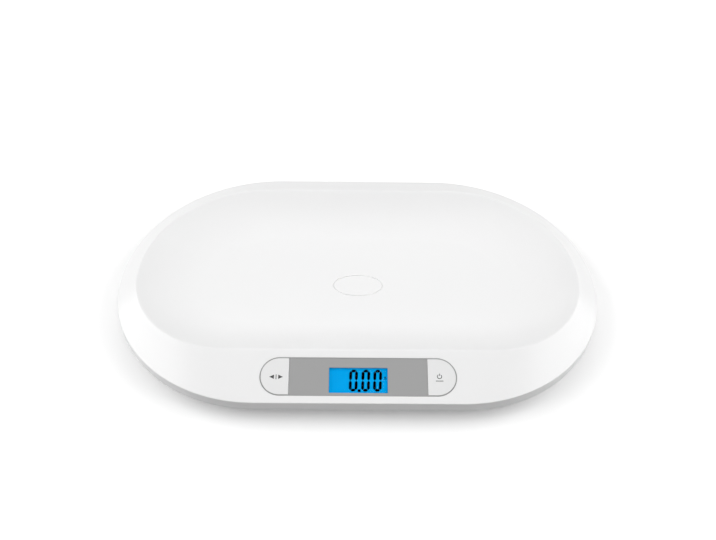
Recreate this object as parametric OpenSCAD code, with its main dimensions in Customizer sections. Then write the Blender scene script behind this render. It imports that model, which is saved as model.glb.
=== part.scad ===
// Digital baby weighing scale: a moulded, dished platform over a recessed base.
// Millimetres. +Z is up, +X runs along the platform, and the display faces -Y.
// The origin is on the resting surface, under the middle of the platform.

/* [Platform outline] */
// Overall length of the platform
tray_w = 550; // [520:5:600]
// Overall depth of the platform, front to back
tray_d = 345; // [330:5:370]
// Radius of the two front corners; the rear corners take the rest of the depth
front_corner_r = 165; // [155:5:172]

/* [Platform section] */
// Wall thickness of the platform moulding
shell_t = 2.5; // [2:0.1:3]
// Height of the upright side wall
side_wall_h = 13; // [11:0.5:18]
// Rise of the crest above the top of the side wall
crest_rise = 18; // [15:0.5:22]
// How far the crest drops towards the two ends
crest_end_drop = 2; // [0:0.5:6]
// Depth of the dish floor below the crest
dish_depth = 26; // [22:0.5:27]

/* [Crest line] */
// Distance of the crest from the platform's ends
crest_end_inset = 24; // [18:1:30]
// Distance of the crest from the front edge
crest_front_inset = 59; // [58:1:64]
// Distance of the crest from the rear edge
crest_back_inset = 38; // [30:1:44]
// Radius of the crest's two front corners
crest_front_r = 107; // [95:1:120]
// Width of the curved side of the dish at its ends
dish_side_w = 75; // [65:1:85]
// Width of the curved side of the dish at front and back
dish_edge_w = 57; // [50:1:65]
// Softness of the crest, as the height that its rounding takes off
crest_round = 0.9; // [0.5:0.1:1.5]

/* [Centre mark] */
// Length of the oval groove in the dish floor
mark_w = 58; // [40:1:70]
// Depth of the oval, front to back
mark_d = 35; // [24:1:44]
// Width of the groove
mark_line = 0.8; // [0.6:0.1:1.2]
// Depth of the groove
mark_cut = 0.4; // [0.3:0.1:0.6]

/* [Display strip] */
// Length of the strip
strip_len = 208; // [196:1:214]
// Height of the strip, up the flank
strip_h = 42.6; // [40:0.2:44]
// Distance of the strip's middle up the flank
strip_v = 29.4; // [28:0.2:31]
// Width of the rim round the strip
rim_w = 0.9; // [0.7:0.1:1.4]
// Depth of the strip's recess
recess_t = 1.6; // [1.4:0.1:1.9]
// Length of the grey panel
panel_w = 146; // [136:1:150]
// Thickness of the grey panel
panel_t = 1.4; // [1.2:0.1:1.5]
// Length of the display window
window_w = 62; // [54:1:66]
// Height of the display window
window_h = 28; // [24:0.5:29]
// How far the window lies below the strip's middle
window_drop = 3.9; // [3:0.1:4.2]

/* [Buttons] */
// Travel of a button
button_travel = 0.6; // [0.4:0.1:0.8]
// Height that a button stands above the flank
button_proud = 0.3; // [0.2:0.1:0.6]
// Thickness of a button's retaining flange
flange_t = 1; // [0.8:0.1:1.3]
// Width of a button's retaining flange
flange_w = 1.2; // [1:0.1:1.6]
// Side of a square key switch
switch_side = 6; // [5:0.1:7]
// Diameter of a key switch's plunger
plunger_d = 3.4; // [3:0.1:3.8]

/* [Display] */
// Thickness of the clear window's flange
lens_flange_t = 0.9; // [0.8:0.1:1.1]
// Border of the liquid crystal cell round the window
cell_border = 2; // [1.5:0.1:2.5]
// Thickness of the liquid crystal cell
lcd_t = 2.2; // [1.8:0.1:2.4]
// Thickness of the light guide
guide_t = 2.4; // [2:0.1:2.6]
// Wall of the display holder
holder_wall = 1.8; // [1.5:0.1:2.2]
// Width of the rubber contact strip
contact_strip_w = 2.2; // [1.8:0.1:2.6]

/* [Circuit board] */
// Length of the board
board_w = 192; // [186:1:196]
// Height of the board, up the flank
board_h = 34; // [32:0.5:35]
// Distance of the board's middle up the flank
board_v = 27.2; // [26.8:0.1:27.8]
// Thickness of the board
board_t = 1.6; // [1.2:0.1:2]
// Diameter of the posts that carry the board
board_post_d = 5; // [4.6:0.1:6]
// Distance of the board's screws from the middle of the board
board_screw_x = 62; // [58:1:64]
// Spacing of the board's screws up the flank
board_screw_v = 26; // [24:1:27]

/* [Base] */
// Height of the base's underside above the resting surface
base_lift = 6; // [5:0.5:8]
// Height of the side wall's lower edge above the base's underside
wall_lift = 10; // [9.5:0.5:12]
// Thickness of the base
base_t = 2.5; // [2:0.1:3]
// Distance of the base's upright wall from the platform's edge
base_inset = 14; // [12:0.5:15]
// Height of the base's stiffening ribs
rib_h = 4; // [2:0.5:5]
// Thickness of the base's stiffening ribs
rib_t = 1.5; // [1.2:0.1:2]
// Diameter of the platform's screw posts
post_d = 8; // [7:0.5:10]
// Diameter of the housing screws
screw_d = 2.8; // [2.5:0.1:3.2]

/* [Feet and load cells] */
// Distance of the feet's middles from the platform's ends
foot_end_inset = 97; // [85:1:110]
// Distance of the feet's middles from the platform's front and rear edges
foot_edge_inset = 88.5; // [82.5:0.5:94.5]
// Diameter of a foot
foot_d = 30; // [26:1:36]
// Diameter of the foot's stem
stem_d = 11; // [10:0.5:13]
// Thickness of the soft pad under a foot
pad_t = 1.5; // [1:0.1:2]
// Side of a square load cell
cell_side = 34; // [32:1:38]
// Thickness of a load cell
cell_t = 3; // [2.5:0.1:3.2]
// Thickness of the carrier's floor
carrier_t = 1.2; // [1:0.1:1.5]
// Wall of the carrier
carrier_wall = 3; // [2:0.5:4]

/* [Batteries] */
// Diameter of a battery
battery_d = 10.5; // [9.5:0.1:10.8]
// Length of a battery with its contact nub
battery_len = 44.5; // [40:0.5:46]
// Spacing of the two rows of batteries
battery_pitch = 11.6; // [11.4:0.1:12.2]
// Distance of the battery bay's middle from the front edge
bay_inset = 34.5; // [34:0.5:36]
// Thickness of the battery door
door_t = 2; // [1.6:0.1:2.3]
// Diameter of the door's hinge pins
hinge_pin_d = 1.6; // [1.4:0.1:1.7]

/* [Wires] */
// Diameter of a load cell's lead
lead_d = 2.4; // [1.8:0.1:2.8]
// Diameter of a battery lead
battery_lead_d = 1.4; // [1.2:0.1:1.8]

/* [Hidden] */

$fn = 48;
// Room between pieces that must not touch, and between pieces that slide
gap = 0.3;
slide_gap = 0.25;
// Overlap that makes a cut or a joint clean
eps = 0.1;
// Room round a screw's shank in its pilot hole and in the piece that it holds, and round its head
pilot_play = 0.2;
shank_play = 0.5;
head_play = 1;
// Room on a side that a pressed-in or glued piece takes up
seat_play = 0.1;

// Heights of the section
base_top_z = base_lift + base_t;
wall_z = base_lift + wall_lift;
wall_top_z = wall_z + side_wall_h;
crest_z = wall_top_z + crest_rise;
floor_z = crest_z - dish_depth;
rim_rise = 0.5;
rim_top_z = wall_z + base_t + rim_rise;

// Steps along one corner of the platform's loops
corner_steps = 16;
// How sharply the dish curves up to its crest
dish_power = 1.8;
// Reach of the crest's rounding on each side of the crest
round_reach = 5;

half_w = tray_w / 2;
half_d = tray_d / 2;
crest_front_y = -half_d + crest_front_inset;
crest_back_y = half_d - crest_back_inset;
floor_front_r = crest_front_r - dish_edge_w;
flank_slope = atan2(crest_rise, crest_front_inset);
flank_len = norm([crest_rise, crest_front_inset]);

// ---- Loops of the platform: points of [x, y, end weight], anticlockwise ----

function corner(cx, cy, r, start) =
    [for (k = [0 : corner_steps]) let (a = start + 90 * k / corner_steps)
        [cx + r * cos(a), cy + r * sin(a), cos(a) * cos(a)]];
function loop(hw, front, back, r) =
    let (rb = back - front - r, xf = hw - r, xb = hw - rb, y = front + r)
    concat(corner(xf, y, r, -90), [for (k = [1 : corner_steps]) corner(xb, y, rb, 0)[k]],
           corner(-xb, y, rb, 90), [for (k = [1 : corner_steps]) corner(-xf, y, r, 180)[k]]);
function edge_loop(inset) =
    loop(half_w - inset, -half_d + inset, half_d - inset, front_corner_r - inset);
function mix(a, b, k) = [for (i = [0 : len(a) - 1]) a[i] + (b[i] - a[i]) * k];

crest_loop = loop(half_w - crest_end_inset, crest_front_y, crest_back_y, crest_front_r);
floor_loop = loop(half_w - crest_end_inset - dish_side_w, crest_front_y + dish_edge_w,
                  crest_back_y - dish_edge_w, floor_front_r);

// Heights: crest, flank and dish, each lowered by what a rounding or the wall takes
function crest_height(w) = crest_z - crest_end_drop * w;
function flat_ring(points, z) = [for (p = points) [p[0], p[1], z]];
function flank_ring(k, lower) =
    [for (p = mix(edge_loop(0), crest_loop, k))
        [p[0], p[1], wall_top_z + (crest_height(p[2]) - wall_top_z) * k - lower]];
function dish_ring(k, lower) =
    [for (p = mix(crest_loop, floor_loop, k))
        [p[0], p[1], floor_z + (crest_height(p[2]) - floor_z) * pow(1 - k, dish_power) - lower]];
function dish_slope(k) = dish_power * dish_depth * pow(1 - k, dish_power - 1) / dish_edge_w;
function under(slope) = shell_t * sqrt(1 + slope * slope);
function rounding(d) = crest_round * pow(max(0, 1 - d / round_reach), 2);

flank_under = under(crest_rise / crest_front_inset);
// Stations across the flank and the dish, as shares of their widths
flank_stations = [0, 0.5, 1 - round_reach / flank_len, 1 - 2 / flank_len, 1];
dish_stations = [0.03, 0.09, 0.18, 0.3, 0.43, 0.56, 0.7, 0.85, 1];
edge_round = 0.8;

top_rings = concat(
    [flat_ring(edge_loop(0), wall_z), flat_ring(edge_loop(0), wall_top_z - edge_round),
     flat_ring(edge_loop(0.3 * edge_round), wall_top_z - 0.25 * edge_round)],
    [for (k = flank_stations) if (k > 0) flank_ring(k, rounding((1 - k) * flank_len))],
    [for (k = dish_stations) dish_ring(k, rounding(k * dish_edge_w))]);
inner_rings = concat(
    [for (i = [len(dish_stations) - 1 : -1 : 2]) let (k = dish_stations[i])
        dish_ring(k, under(dish_slope(k)))],
    [flank_ring(1, under(1) + 0.5), flank_ring(flank_stations[2], flank_under + 0.2),
     flat_ring(edge_loop(shell_t), wall_top_z - 0.8 * shell_t),
     flat_ring(edge_loop(shell_t), wall_z)]);

// A closed skin through a chain of rings, capped at its first and last ring
module ring_skin(rings) {
    n = len(rings[0]);
    last = len(rings) - 1;
    polyhedron(points = [for (r = rings) each r],
               faces = concat(
                   [[for (j = [0 : n - 1]) j], [for (j = [n - 1 : -1 : 0]) last * n + j]],
                   [for (i = [0 : last - 1], j = [0 : n - 1]) let (m = (j + 1) % n)
                       [i * n + j, (i + 1) * n + j, (i + 1) * n + m]],
                   [for (i = [0 : last - 1], j = [0 : n - 1]) let (m = (j + 1) % n)
                       [i * n + j, (i + 1) * n + m, i * n + m]]));
}

// The platform's outline, drawn in by an inset, with true arcs
module outline2d(inset) {
    r = front_corner_r;
    rb = tray_d - r;
    y = -half_d + r;
    for (s = [-1, 1]) {
        intersection() {
            translate([s * (half_w - r), y]) circle(r - inset, $fn = 96);
            translate([-half_w, -half_d]) square([tray_w, r]);
        }
        intersection() {
            translate([s * (half_w - rb), y]) circle(rb - inset, $fn = 96);
            translate([-half_w, y]) square([tray_w, rb]);
        }
    }
    translate([-half_w + r, -half_d + inset]) square([tray_w - 2 * r, r - inset]);
    translate([-half_w + rb, y]) square([tray_w - 2 * rb, rb - inset]);
}

// ---- Places on the front flank: x along it, y up it, z out of it ----

module on_flank() {
    translate([0, -half_d, wall_top_z]) rotate([flank_slope, 0, 0]) children();
}
module on_strip() {
    on_flank() translate([0, strip_v, 0]) children();
}
// Height of a point under the flank, at a depth below its face
function flank_y(v, depth) = -half_d + v * cos(flank_slope) + depth * sin(flank_slope);
function flank_z(v, depth) = wall_top_z + v * sin(flank_slope) - depth * cos(flank_slope);
// Height of the board's lower face above a y
function board_under_z(y) =
    flank_z((y + half_d - board_low * sin(flank_slope)) / cos(flank_slope), board_low);

module stadium2d(length, height) {
    square([length - height, height], center = true);
    for (s = [-1, 1]) translate([s * (length - height) / 2, 0]) circle(height / 2);
}
// One D-shaped end of the strip, from the panel outwards; side is -1 or 1
module strip_end2d(s, inset) {
    from = panel_w / 2 + slide_gap;
    intersection() {
        stadium2d(strip_len - 2 * inset, strip_h - 2 * inset);
        translate([s > 0 ? from : -from - strip_len, -strip_h]) square([strip_len, 2 * strip_h]);
    }
}

// Depths below the flank's face
panel_top = recess_t - panel_t;
flange_top = shell_t + gap;
flange_low = flange_top + flange_t;
lens_low = recess_t + lens_flange_t;
lcd_top = lens_low + gap;
guide_top = lcd_top + lcd_t;
board_top = 8;
board_low = board_top + board_t;
switch_top = flange_low + button_travel + gap;
button_inset = rim_w + slide_gap;
switch_x = (panel_w + strip_len) / 4;
plunger_seat = 0.6;
cell_w = window_w + 2 * cell_border;
cell_h = window_h + 2 * cell_border;
// Height of the window's pane above its flange, and of the key's flange beside the panel
pane_t = 0.8;
flange_step = 1;

// ---- Shared places in the base ----

foot_x = half_w - foot_end_inset;
foot_y = half_d - foot_edge_inset;

foot_names_x = [-1, 1, -1, 1];
foot_names_y = [-1, -1, 1, 1];
carrier_side = cell_side + 2 * (gap + carrier_wall);
cell_z = base_top_z + carrier_t;
stem_play = 2;
peg_d = 5;
peg_play = 0.6;
// Ribs beside the carriers, and ribs and posts between the feet
rib_room = 6;
rib_y = foot_y - carrier_side / 2 - rib_room;
rib_x = foot_x - 2 * cell_side;
post_x = rib_x + post_d / 2 + rib_room;
bay_y = -half_d + bay_inset;
spring_room = 3;
row_play = 0.7;
bay_half_x = battery_len + spring_room;
bay_half_y = (battery_pitch + battery_d) / 2 + row_play;
bay_wall = 1.6;
battery_z = base_lift + door_t + gap + battery_d / 2;
bay_roof_z = battery_z + battery_d / 2 + gap;
door_half_x = bay_half_x - 1.2;
door_half_y = bay_half_y - 0.5;
hinge_r = 1.5;
hinge_y = bay_y + bay_half_y + bay_wall + 1.6 * hinge_r;
hinge_z = base_lift + hinge_r;
hinge_x = 0.62 * door_half_x;
hinge_arm_w = 9;
// The door's latch: half width of its tongue, its length, its slots and its grip hollow
tongue_half = 9;
tongue_len = 8;
tongue_slot = 0.8;
grip_r = 6.2;
grip_len = 12;
grip_t = 0.8;
// The batteries' contacts: their plates, their tails and the room for a tail's lead
nub_d = 3.8;
nub_len = 0.9;
contact_t = 0.5;
contact_side = 8.5;
tail_len = 1.6;
tail_side = 1.2;
// Screw posts: six under the dish floor and one under each end of the dish
end_post_inset = 0.4;
end_post_x = half_w - crest_end_inset - end_post_inset * dish_side_w;
end_post_y = crest_front_y + crest_front_r;
post_places = [for (x = [-post_x, 0, post_x], y = [-1, 1]) [x, y * foot_y / 2, false],
               for (s = [-1, 1]) [s * end_post_x, end_post_y, true]];
end_post_top = floor_z + (crest_z - crest_end_drop - floor_z) * pow(1 - end_post_inset, dish_power)
               - 0.75 * shell_t;
function post_top(p) = p[2] ? end_post_top : floor_z - shell_t / 3;
screw_head_d = 2 * screw_d;
screw_head_t = 0.65 * screw_d;
screw_seat_z = base_lift + screw_head_t + eps;
screw_len = 7.5;
board_screw_d = 2;

// ================================ Platform ================================

module tray_shell() {
    color("white") difference() {
        union() {
            ring_skin(concat(inner_rings, top_rings));
            for (p = post_places) {
                translate([p[0], p[1], base_top_z])
                    cylinder(d = post_d, h = post_top(p) - base_top_z);
            }
            board_posts();
        }
        for (p = post_places) {
            translate([p[0], p[1], screw_seat_z])
                cylinder(d = screw_d + pilot_play, h = screw_len + 2 * gap);
        }
        on_strip() {
            translate([0, 0, -recess_t])
                linear_extrude(recess_t + 1) stadium2d(strip_len, strip_h);
            for (s = [-1, 1]) {
                translate([0, 0, -shell_t - 1]) linear_extrude(shell_t + 2)
                    strip_end2d(s, rim_w);
            }
            translate([0, -window_drop, -shell_t])
                cube([cell_w + 2 * gap, cell_h + 2 * gap, 2 * shell_t], center = true);
            for (p = board_screw_places()) {
                translate([p[0], p[1], -board_top - 1])
                    cylinder(d = board_screw_d + pilot_play, h = board_pilot_len + 1);
            }
        }
        translate([0, 0, floor_z - mark_cut]) linear_extrude(1) mark2d();
    }
}

// The board's screws, in the strip's own frame; their pilot holes end under the recess's floor
board_pilot_len = board_top - recess_t - 4 * eps;
function board_screw_places() =
    [for (sx = [-1, 1], sv = [-1, 1])
        [sx * board_screw_x, board_v - strip_v + sv * board_screw_v / 2]];

module board_posts() {
    on_strip() for (p = board_screw_places()) {
        translate([p[0], p[1], -board_top])
            cylinder(d = board_post_d, h = board_top - shell_t + 4 * eps);
    }
}

// The oval line in the middle of the dish
module mark2d() {
    steps = 48;
    difference() {
        polygon([for (k = [0 : steps - 1]) let (a = 360 * k / steps)
            [mark_w / 2 * cos(a), mark_d / 2 * sin(a)]]);
        polygon([for (k = [0 : steps - 1]) let (a = 360 * k / steps)
            [(mark_w / 2 - mark_line) * cos(a), (mark_d / 2 - mark_line) * sin(a)]]);
    }
}

// ================================ Strip ================================

module strip_rim() {
    color("silver") on_strip() translate([0, 0, -recess_t]) linear_extrude(recess_t) difference() {
        stadium2d(strip_len - seat_play, strip_h - seat_play);
        stadium2d(strip_len - 2 * rim_w, strip_h - 2 * rim_w);
    }
}

module display_panel() {
    color("darkgray") on_strip() difference() {
        translate([0, 0, -panel_top - panel_t / 2])
            cube([panel_w - seat_play, strip_h - 2 * rim_w - seat_play, panel_t], center = true);
        translate([0, -window_drop, -panel_top - panel_t / 2])
            cube([window_w, window_h, panel_t + 1], center = true);
    }
}

module window_lens() {
    color("lightcyan") on_strip() translate([0, -window_drop, 0]) {
        translate([0, 0, -recess_t - lens_flange_t / 2])
            cube([cell_w, cell_h, lens_flange_t], center = true);
        translate([0, 0, -recess_t + pane_t / 2])
            cube([window_w - 2 * seat_play, window_h - 2 * seat_play, pane_t], center = true);
    }
}

// A button: a D-shaped key through the flank, held by a flange under it
module button(s) {
    color("white") on_strip() {
        translate([0, 0, -flange_top])
            linear_extrude(flange_top + button_proud) strip_end2d(s, button_inset);
        difference() {
            translate([0, 0, -flange_low])
                linear_extrude(flange_t) strip_end2d(s, button_inset - flange_w);
            translate([s * (panel_w / 2 - flange_step), 0, -flange_low])
                cube([2 * flange_step, strip_h * 2, 3 * flange_t], center = true);
        }
    }
}
module unit_button() {
    button(-1);
}
module power_button() {
    button(1);
}

// The part of a key switch that moves with its button
module plunger(s) {
    color("dimgray") on_strip() translate([s * switch_x, 0, -switch_top - plunger_seat])
        cylinder(d = plunger_d, h = switch_top + plunger_seat - flange_low);
}
module unit_plunger() {
    plunger(-1);
}
module power_plunger() {
    plunger(1);
}

module key_switches() {
    color("dimgray") on_strip() for (s = [-1, 1]) {
        depth = plunger_seat + button_travel + gap;
        difference() {
            translate([s * switch_x, 0, -(board_top + switch_top) / 2])
                cube([switch_side, switch_side, board_top - switch_top], center = true);
            translate([s * switch_x, 0, -switch_top - depth])
                cylinder(d = plunger_d + gap, h = depth + 1);
        }
    }
}

// ================================ Display ================================

module lcd_cell() {
    color("deepskyblue") on_strip() translate([0, -window_drop, -lcd_top - lcd_t / 2])
        cube([cell_w, cell_h, lcd_t], center = true);
}

module light_guide() {
    guide_h = cell_h - contact_strip_w - gap;
    color("white") on_strip()
        translate([0, -window_drop - (cell_h - guide_h) / 2, -guide_top - guide_t / 2])
            cube([cell_w, guide_h, guide_t], center = true);
}

module contact_strip() {
    end_inset = 3;
    color("gray") on_strip()
        translate([0, -window_drop + (cell_h - contact_strip_w) / 2, -(guide_top + board_top) / 2])
            cube([cell_w - 2 * end_inset, contact_strip_w, board_top - guide_top], center = true);
}

module display_holder() {
    outer_w = cell_w + 2 * (gap + holder_wall);
    outer_h = cell_h + 2 * (gap + holder_wall);
    top = shell_t + gap;
    height = board_top - top;
    color("ivory") on_strip() translate([0, -window_drop, -(top + board_top) / 2]) difference() {
        cube([outer_w, outer_h, height], center = true);
        cube([cell_w + 2 * gap, cell_h + 2 * gap, height + 1], center = true);
    }
}

module display_board() {
    color("seagreen") on_strip() difference() {
        translate([0, board_v - strip_v, -board_top - board_t / 2])
            cube([board_w, board_h, board_t], center = true);
        for (p = board_screw_places()) {
            translate([p[0], p[1], -board_low - 1])
                cylinder(d = board_screw_d + 2 * pilot_play, h = board_t + 2);
        }
    }
}

// A drop of resin over the chip, on the board's lower face
module controller_chip() {
    drop_r = 9.3;
    drop_t = 2.3;
    color("black") on_strip() translate([0, board_v - strip_v, -board_low])
        intersection() {
            translate([0, 0, drop_r - drop_t]) sphere(r = drop_r, $fn = 64);
            translate([0, 0, -drop_t]) cylinder(r = drop_r, h = drop_t);
        }
}

module screw(d, length, head_d, head_t) {
    translate([0, 0, -head_t / 2]) cylinder(d = d, h = length + head_t / 2);
    translate([0, 0, -head_t]) difference() {
        cylinder(d = head_d, h = head_t);
        for (a = [0, 90]) rotate([0, 0, a]) translate([0, 0, -eps])
            cube([0.65 * head_d, 0.16 * head_d, 0.8 * head_t], center = true);
    }
}

board_screw_head_t = 1.2;
board_screw_bite = 4;
module board_screws() {
    color("silver") on_strip() for (p = board_screw_places()) {
        translate([p[0], p[1], -board_low])
            screw(board_screw_d, board_t + board_screw_bite, 2 * board_screw_d, board_screw_head_t);
    }
}

// ================================ Base ================================

module base_pan() {
    color("gainsboro") difference() {
        union() {
            translate([0, 0, base_lift])
                linear_extrude(rim_top_z - base_lift) outline2d(base_inset);
            translate([0, 0, rim_top_z - base_t])
                linear_extrude(base_t) outline2d(shell_t + gap);
        }
        difference() {
            translate([0, 0, base_top_z])
                linear_extrude(rim_top_z) outline2d(base_inset + base_t);
            base_ribs();
            bay_block();
        }
        for (i = [0 : 3]) {
            translate([foot_names_x[i] * foot_x, foot_names_y[i] * foot_y, base_lift - 1])
                cylinder(d = stem_d + 2 * stem_play, h = base_t + 2);
        }
        for (p = post_places) translate([p[0], p[1], base_lift - 1]) {
            cylinder(d = screw_d + shank_play, h = base_t + 2);
            cylinder(d = screw_head_d + head_play, h = 1 + screw_head_t + eps);
        }
        bay_space();
    }
    hinge_pins();
}

// Ribs stand on the base's floor, clear of the carriers, the posts and the leads
module base_ribs() {
    reach = half_w - base_inset - base_t - rib_t;
    for (y = [rib_y, -rib_y]) {
        translate([-reach, y - rib_t / 2, base_top_z - eps]) cube([2 * reach, rib_t, rib_h + eps]);
    }
    for (x = [-rib_x, rib_x]) {
        translate([x - rib_t / 2, -rib_y, base_top_z - eps]) cube([rib_t, 2 * rib_y, rib_h + eps]);
    }
}

module bay_block() {
    translate([-bay_half_x - bay_wall, bay_y - bay_half_y - bay_wall, base_lift])
        cube([2 * (bay_half_x + bay_wall), 2 * (bay_half_y + bay_wall),
              bay_roof_z + bay_wall - base_lift]);
}

// The batteries' space, the door's opening and the slots for its hinge arms
module bay_space() {
    translate([-bay_half_x, bay_y - bay_half_y, base_top_z - 0.5])
        cube([2 * bay_half_x, 2 * bay_half_y, bay_roof_z - base_top_z + 0.5]);
    translate([-door_half_x - gap, bay_y - door_half_y - gap, base_lift - 1])
        cube([2 * (door_half_x + gap), 2 * (door_half_y + gap), base_t + 2]);
    for (s = [-1, 1]) {
        translate([s * hinge_x - hinge_arm_w / 2 - gap, bay_y + door_half_y - 1, base_lift - 1])
            cube([hinge_arm_w + 2 * gap, hinge_y + hinge_r + gap - bay_y - door_half_y + 1,
                  hinge_z + hinge_r + gap - base_lift + 1]);
    }
    for (s = [-1, 1], t = [-1, 1]) {
        translate([s * (bay_half_x + bay_wall / 2), bay_y + t * battery_pitch / 2, battery_z])
            rotate([0, 90, 0]) cylinder(d = battery_lead_d + 2, h = 2 * bay_wall, center = true);
    }
}

module hinge_pins() {
    color("gainsboro") for (s = [-1, 1]) {
        translate([s * hinge_x, hinge_y, hinge_z]) rotate([0, 90, 0])
            cylinder(d = hinge_pin_d, h = hinge_arm_w + 2 * gap + 4 * eps, center = true);
    }
}

module battery_door() {
    arm_len = hinge_y - bay_y - door_half_y;
    color("gainsboro") difference() {
        union() {
            translate([-door_half_x, bay_y - door_half_y, base_lift])
                cube([2 * door_half_x, 2 * door_half_y, door_t]);
            for (s = [-1, 1]) translate([s * hinge_x - hinge_arm_w / 2, 0, 0]) {
                translate([0, bay_y + door_half_y - eps, base_lift])
                    cube([hinge_arm_w, arm_len + eps, door_t]);
                translate([0, hinge_y, hinge_z]) rotate([0, 90, 0])
                    cylinder(r = hinge_r, h = hinge_arm_w);
            }
        }
        // The snap-on bore of each hinge arm, open upwards
        for (s = [-1, 1]) translate([s * hinge_x, hinge_y, hinge_z]) {
            rotate([0, 90, 0])
                cylinder(d = hinge_pin_d + pilot_play, h = hinge_arm_w + 2, center = true);
            translate([0, 0, hinge_r])
                cube([hinge_arm_w + 2, 0.7 * hinge_pin_d, 2 * hinge_r], center = true);
        }
        // The finger latch: a tongue between two slots, with a grip hollow
        for (s = [-1, 1]) {
            translate([s * tongue_half - tongue_slot / 2, bay_y - door_half_y - 1, base_lift - 1])
                cube([tongue_slot, tongue_len + 1, door_t + 2]);
        }
        translate([0, bay_y - door_half_y + tongue_len / 2, base_lift + grip_t - grip_r])
            rotate([0, 90, 0]) cylinder(r = grip_r, h = grip_len, center = true, $fn = 64);
    }
}

// ================================ Batteries ================================

module battery_cells() {
    touch = 0.02;
    color("slategray") for (s = [-1, 1], t = [-1, 1]) {
        translate([s * battery_len / 2 - t * battery_len / 2, bay_y + t * battery_pitch / 2,
                   battery_z]) rotate([0, t * 90, 0]) {
            translate([0, 0, touch]) cylinder(d = battery_d, h = battery_len - nub_len - 2 * touch);
            cylinder(d = nub_d, h = battery_len - 2 * touch);
        }
    }
}

module battery_contacts() {
    plate = contact_t;
    back = bay_half_x - plate;
    height = contact_side;
    color("gold") {
        // One plate joins the two rows at the right end
        translate([back, bay_y - battery_pitch / 2 - height / 2, battery_z - height / 2])
            cube([plate, battery_pitch + height, height]);
        for (t = [-1, 1]) {
            translate([-bay_half_x, bay_y + t * battery_pitch / 2 - height / 2,
                       battery_z - height / 2]) cube([plate, height, height]);
            translate([-bay_half_x - bay_wall - tail_len,
                       bay_y + t * battery_pitch / 2 - tail_side / 2, battery_z - tail_side / 2])
                cube([bay_wall + tail_len + eps, tail_side, tail_side]);
            for (s = [-1, 1]) {
                translate([s * (bay_half_x - plate / 2), bay_y + t * battery_pitch / 2, battery_z])
                    rotate([0, -s * 90, 0])
                        cylinder(d1 = 0.8 * height, d2 = 0.35 * height,
                                 h = bay_half_x - battery_len - plate / 2);
            }
        }
    }
}

// A straight wire from each contact's tail up to the board
module battery_leads() {
    x = -bay_half_x - bay_wall - tail_len - battery_lead_d / 2;
    color("firebrick") for (t = [-1, 1]) {
        y = bay_y + t * battery_pitch / 2;
        top = board_under_z(y - battery_lead_d / 2) - gap;
        low = battery_z - tail_side / 2;
        translate([x, y, low]) cylinder(d = battery_lead_d, h = top - low);
    }
}

// ================================ Load cells and feet ================================

module at_foot(i) {
    translate([foot_names_x[i] * foot_x, foot_names_y[i] * foot_y, 0]) children();
}

// A stamped plate with a tongue: the frame rests on the carrier, the tongue on the foot
module load_cell(i) {
    slot = 2;
    tongue = 0.5 * cell_side;
    gauge_x = 0.16 * cell_side;
    gauge_t = 0.8;
    color("silver") at_foot(i) {
        difference() {
            translate([0, 0, cell_z + cell_t / 2])
                cube([cell_side, cell_side, cell_t], center = true);
            for (s = [-1, 1]) {
                translate([s * (tongue + slot) / 2, 0, cell_z])
                    cube([slot, tongue + 2 * slot, 3 * cell_t], center = true);
            }
            translate([0, (tongue + slot) / 2, cell_z])
                cube([tongue + 2 * slot, slot, 3 * cell_t], center = true);
            translate([0, 0, cell_z - 1]) cylinder(d = peg_d + peg_play, h = cell_t + 2);
        }
        for (s = [-1, 1]) {
            translate([s * gauge_x, -0.28 * cell_side, cell_z + cell_t])
                cylinder(d1 = 0.14 * cell_side, d2 = 0.1 * cell_side, h = gauge_t);
        }
    }
}

module cell_carrier(i) {
    color("whitesmoke") at_foot(i) difference() {
        translate([0, 0, base_top_z + (carrier_t + cell_t) / 2])
            cube([carrier_side, carrier_side, carrier_t + cell_t], center = true);
        translate([0, 0, cell_z + cell_t])
            cube([cell_side + 2 * gap, cell_side + 2 * gap, 2 * cell_t], center = true);
        translate([0, 0, base_top_z - 1]) cylinder(d = stem_d + 4 * stem_play, h = carrier_t + 2);
        // The way out for the lead, towards the platform's middle
        translate([-foot_names_x[i] * carrier_side / 2, 0, cell_z + cell_t])
            cube([3 * carrier_wall, lead_d + 2, 2 * cell_t], center = true);
    }
}

// The foot narrows towards the floor, and the pad lies within its rim
foot_taper = 2;
module foot(i) {
    top = base_lift - 1;
    color("gray") at_foot(i) {
        translate([0, 0, pad_t]) cylinder(d1 = foot_d - foot_taper, d2 = foot_d, h = top - pad_t);
        translate([0, 0, top - eps]) cylinder(d = stem_d, h = cell_z - top + eps);
        translate([0, 0, cell_z - eps]) cylinder(d = peg_d, h = cell_t + 2 * gap + eps);
    }
}

module foot_pad(i) {
    color("dimgray") at_foot(i) cylinder(d = foot_d - 2 * foot_taper, h = pad_t);
}

module load_cell_front_left() { load_cell(0); }
module load_cell_front_right() { load_cell(1); }
module load_cell_rear_left() { load_cell(2); }
module load_cell_rear_right() { load_cell(3); }
module cell_carrier_front_left() { cell_carrier(0); }
module cell_carrier_front_right() { cell_carrier(1); }
module cell_carrier_rear_left() { cell_carrier(2); }
module cell_carrier_rear_right() { cell_carrier(3); }
module foot_front_left() { foot(0); }
module foot_front_right() { foot(1); }
module foot_rear_left() { foot(2); }
module foot_rear_right() { foot(3); }
module foot_pad_front_left() { foot_pad(0); }
module foot_pad_front_right() { foot_pad(1); }
module foot_pad_rear_left() { foot_pad(2); }
module foot_pad_rear_right() { foot_pad(3); }

// ================================ Wires and screws ================================

// A wire through square turns, along the axes
module wire(points, d) {
    for (i = [0 : len(points) - 2]) {
        a = points[i];
        v = points[i + 1] - a;
        translate(a) rotate([0, acos(v[2] / norm(v)), atan2(v[1], v[0])])
            cylinder(d = d, h = norm(v), $fn = 24);
        if (i > 0) translate(a) sphere(d = d, $fn = 24);
    }
}

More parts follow.
